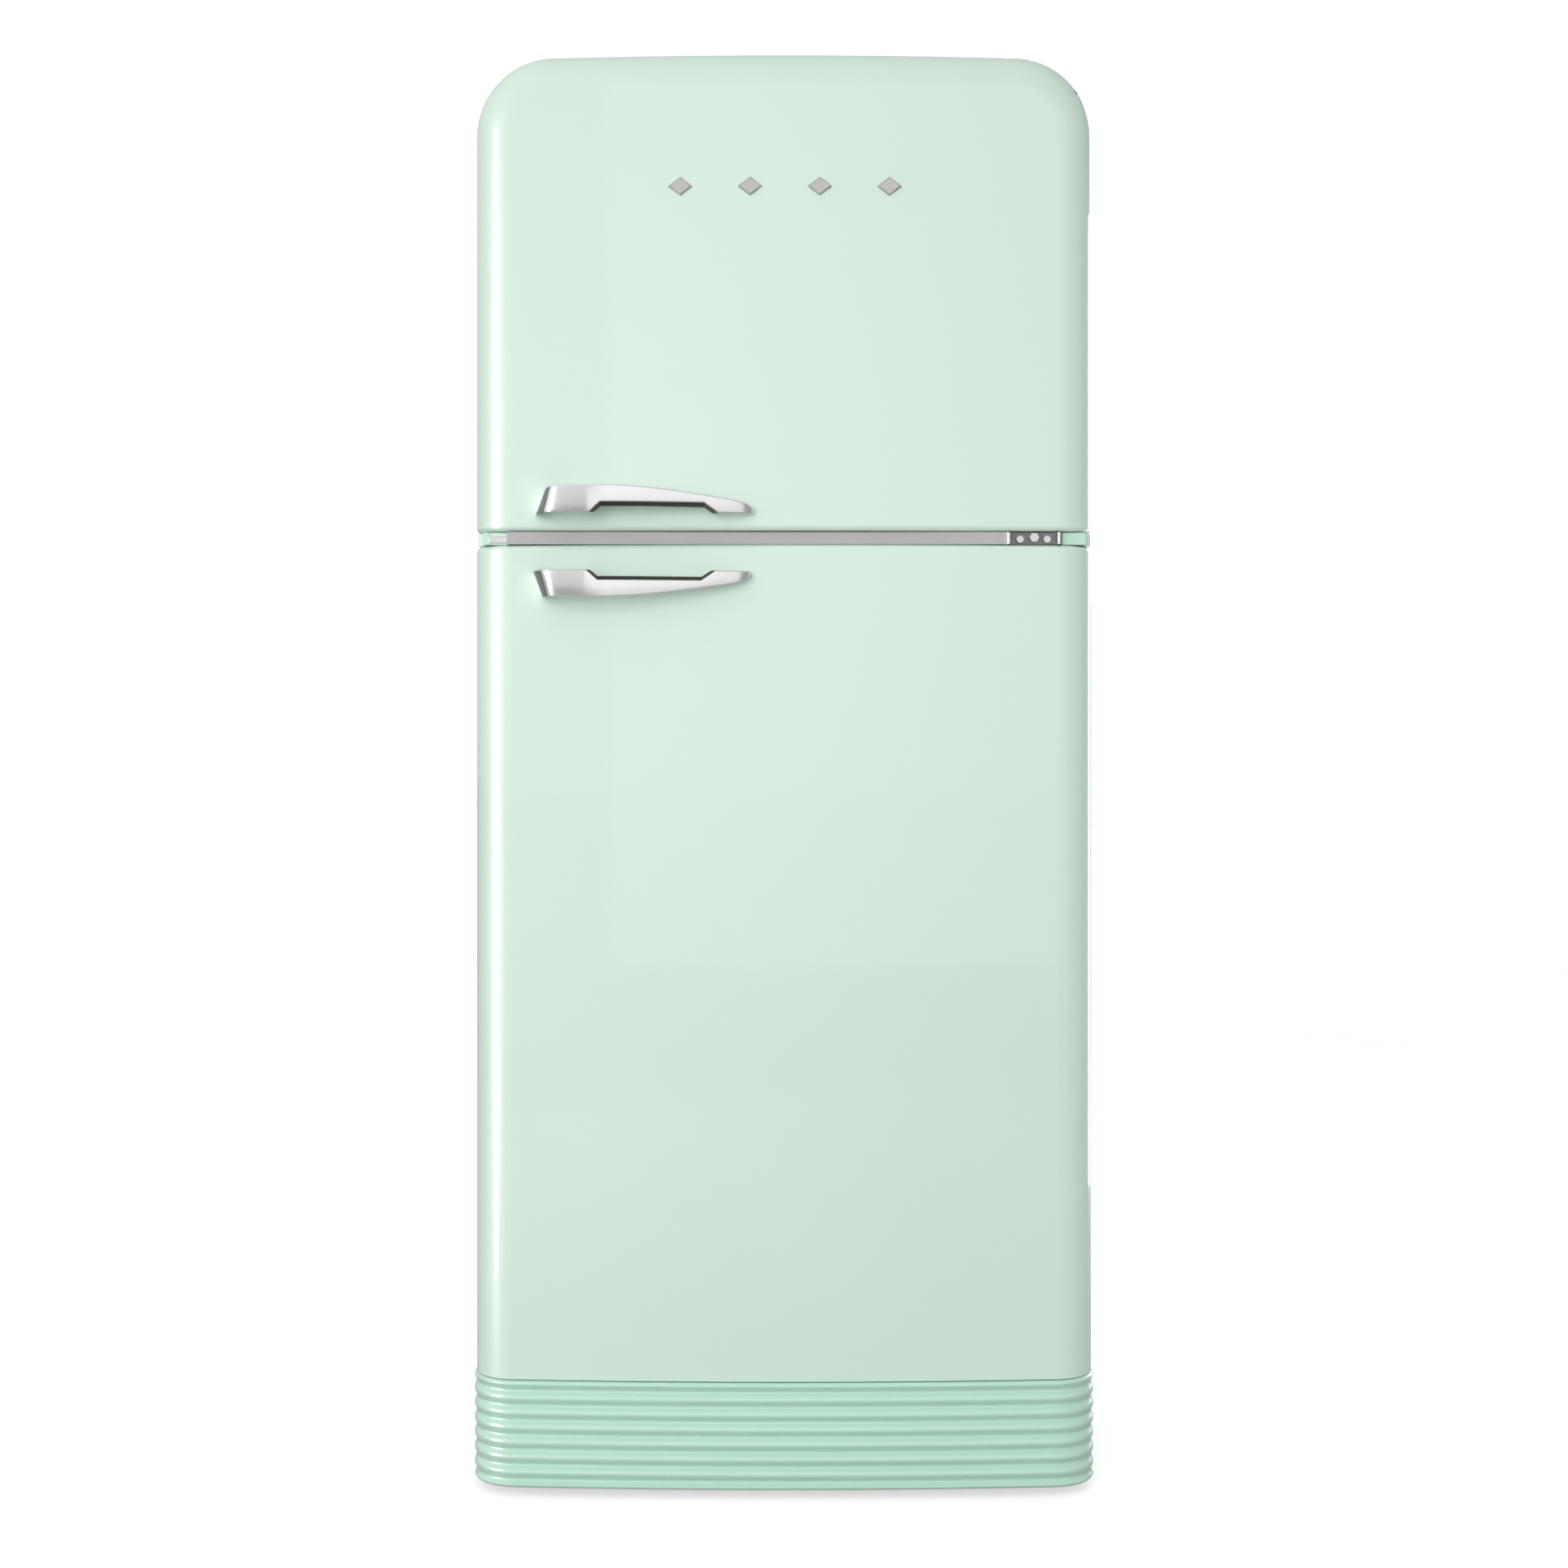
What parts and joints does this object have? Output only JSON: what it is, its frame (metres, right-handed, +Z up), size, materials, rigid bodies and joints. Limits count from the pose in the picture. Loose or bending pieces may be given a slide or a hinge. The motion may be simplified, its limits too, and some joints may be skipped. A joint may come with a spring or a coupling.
{
  "type": "top freezer refrigerator",
  "caption": "Tall retro refrigerator with a freezer door over a fridge door, rounded painted cabinet, ribbed plinth, chrome bar handles and fitted insides.",
  "frame": {"origin": "on the floor, under the middle of the whole refrigerator's box", "axes": "+X to the right seen from the front, the hinge side; +Y to the back, so the doors face -Y; +Z up"},
  "size_m": [0.814, 0.814, 1.875],
  "materials": {
    "mint_paint": "gloss",
    "galvanised_steel": "satin",
    "chrome": "polished",
    "satin_badge": "satin",
    "foam": "matte",
    "white_liner": "satin",
    "grey_rail": "satin",
    "gasket_rubber": "matte",
    "shelf_glass": "gloss",
    "clear_plastic": "gloss",
    "ice_tray_plastic": "satin",
    "bush_plastic": "matte",
    "light_lens": "satin",
    "button_grey": "satin",
    "fin_aluminium": "satin",
    "black_paint": "satin",
    "dark_plastic": "matte",
    "roller_nylon": "matte",
    "foot_steel": "satin"
  },
  "bodies": {
    "cabinet": {"outer_shell": "mint_paint", "back_panel": "galvanised_steel", "cabinet_insulation": "foam", "freezer_liner": "white_liner", "fridge_liner": "white_liner", "centre_rail": "grey_rail", "plinth_skirt": "mint_paint", "base_frame": "galvanised_steel", "compressor_grille": "black_paint", "compressor": "black_paint", "condenser": "fin_aluminium", "drip_tray": "dark_plastic", "evaporator": "fin_aluminium", "freezer_air_panel": "white_liner", "fridge_air_duct": "white_liner", "freezer_shelf": "shelf_glass", "ice_maker_frame": "white_liner", "fridge_shelves": "shelf_glass", "bottle_rack": "chrome", "crisper_cover": "shelf_glass", "light_panel": "light_lens", "control_panel": "white_liner", "top_hinge": "galvanised_steel", "middle_hinge": "chrome", "bottom_hinge": "galvanised_steel", "hinge_screws": "chrome", "rear_spacers": "dark_plastic", "power_inlet": "dark_plastic"},
    "freezer_door": {"freezer_door_skin": "mint_paint", "freezer_door_insulation": "foam", "freezer_door_liner": "white_liner", "freezer_gasket": "gasket_rubber", "freezer_handle": "chrome", "freezer_balconies": "clear_plastic", "freezer_balcony_rails": "chrome", "badge": "satin_badge", "freezer_hinge_bushes": "bush_plastic"},
    "fridge_door": {"fridge_door_skin": "mint_paint", "fridge_door_insulation": "foam", "fridge_door_liner": "white_liner", "fridge_gasket": "gasket_rubber", "fridge_handle": "chrome", "fridge_balconies": "clear_plastic", "fridge_balcony_rails": "chrome", "fridge_hinge_bushes": "bush_plastic"},
    "dairy_flap": {"dairy_flap": "clear_plastic"},
    "ice_drawer": {"ice_drawer": "clear_plastic"},
    "cold_drawer": {"cold_drawer": "clear_plastic"},
    "crisper_left": {"crisper_left": "clear_plastic"},
    "crisper_right": {"crisper_right": "clear_plastic"},
    "ice_tray_left": {"ice_tray_left": "ice_tray_plastic"},
    "ice_tray_right": {"ice_tray_right": "ice_tray_plastic"},
    "evaporator_fan": {"evaporator_fan": "dark_plastic"},
    "condenser_fan": {"condenser_fan": "dark_plastic"},
    "rear_roller_left": {"rear_roller_left": "roller_nylon"},
    "rear_roller_right": {"rear_roller_right": "roller_nylon"},
    "foot_left": {"foot_left": "foot_steel"},
    "foot_right": {"foot_right": "foot_steel"},
    "button_colder": {"button_colder": "button_grey"},
    "button_warmer": {"button_warmer": "button_grey"}
  },
  "joints": [
    {"name": "freezer_door_hinge", "type": "hinge", "parent": "cabinet", "child": "freezer_door", "pos_m": [0.36, -0.303, 1.25], "axis": [0, 0, 1], "range_deg": [0, 110]},
    {"name": "fridge_door_hinge", "type": "hinge", "parent": "cabinet", "child": "fridge_door", "pos_m": [0.36, -0.303, 0.6], "axis": [0, 0, 1], "range_deg": [0, 110]},
    {"name": "dairy_flap_hinge", "type": "hinge", "parent": "fridge_door", "child": "dairy_flap", "pos_m": [0, -0.261, 1.065], "axis": [1, 0, 0], "range_deg": [0, 80]},
    {"name": "ice_drawer_slide", "type": "slide", "parent": "cabinet", "child": "ice_drawer", "axis": [0, -1, 0], "range_m": [0, 0.09]},
    {"name": "cold_drawer_slide", "type": "slide", "parent": "cabinet", "child": "cold_drawer", "axis": [0, -1, 0], "range_m": [0, 0.09]},
    {"name": "crisper_left_slide", "type": "slide", "parent": "cabinet", "child": "crisper_left", "axis": [0, -1, 0], "range_m": [0, 0.09]},
    {"name": "crisper_right_slide", "type": "slide", "parent": "cabinet", "child": "crisper_right", "axis": [0, -1, 0], "range_m": [0, 0.09]},
    {"name": "ice_tray_left_twist", "type": "hinge", "parent": "cabinet", "child": "ice_tray_left", "pos_m": [-0.26325, 0, 1.462], "axis": [0, 1, 0], "range_deg": [0, 150], "stiffness_Nm_per_rad": 0.05},
    {"name": "ice_tray_right_twist", "type": "hinge", "parent": "cabinet", "child": "ice_tray_right", "pos_m": [-0.15875, 0, 1.462], "axis": [0, 1, 0], "range_deg": [0, 150], "stiffness_Nm_per_rad": 0.05},
    {"name": "evaporator_fan_spin", "type": "hinge", "parent": "cabinet", "child": "evaporator_fan", "pos_m": [0, 0.274, 1.64], "axis": [0, 1, 0], "continuous": true},
    {"name": "condenser_fan_spin", "type": "hinge", "parent": "cabinet", "child": "condenser_fan", "pos_m": [0.034, 0.295, 0.15], "axis": [1, 0, 0], "continuous": true},
    {"name": "rear_roller_left_spin", "type": "hinge", "parent": "cabinet", "child": "rear_roller_left", "pos_m": [-0.33, 0.345, 0.022], "axis": [1, 0, 0], "continuous": true},
    {"name": "rear_roller_right_spin", "type": "hinge", "parent": "cabinet", "child": "rear_roller_right", "pos_m": [0.33, 0.345, 0.022], "axis": [1, 0, 0], "continuous": true},
    {"name": "foot_left_turn", "type": "hinge", "parent": "cabinet", "child": "foot_left", "pos_m": [-0.33, -0.285, 0], "axis": [0, 0, 1], "continuous": true},
    {"name": "foot_right_turn", "type": "hinge", "parent": "cabinet", "child": "foot_right", "pos_m": [0.33, -0.285, 0], "axis": [0, 0, 1], "continuous": true},
    {"name": "button_colder_press", "type": "slide", "parent": "cabinet", "child": "button_colder", "axis": [0, 1, 0], "range_m": [0, 0.0015], "stiffness_N_per_m": 400},
    {"name": "button_warmer_press", "type": "slide", "parent": "cabinet", "child": "button_warmer", "axis": [0, 1, 0], "range_m": [0, 0.0015], "stiffness_N_per_m": 400}
  ]
}
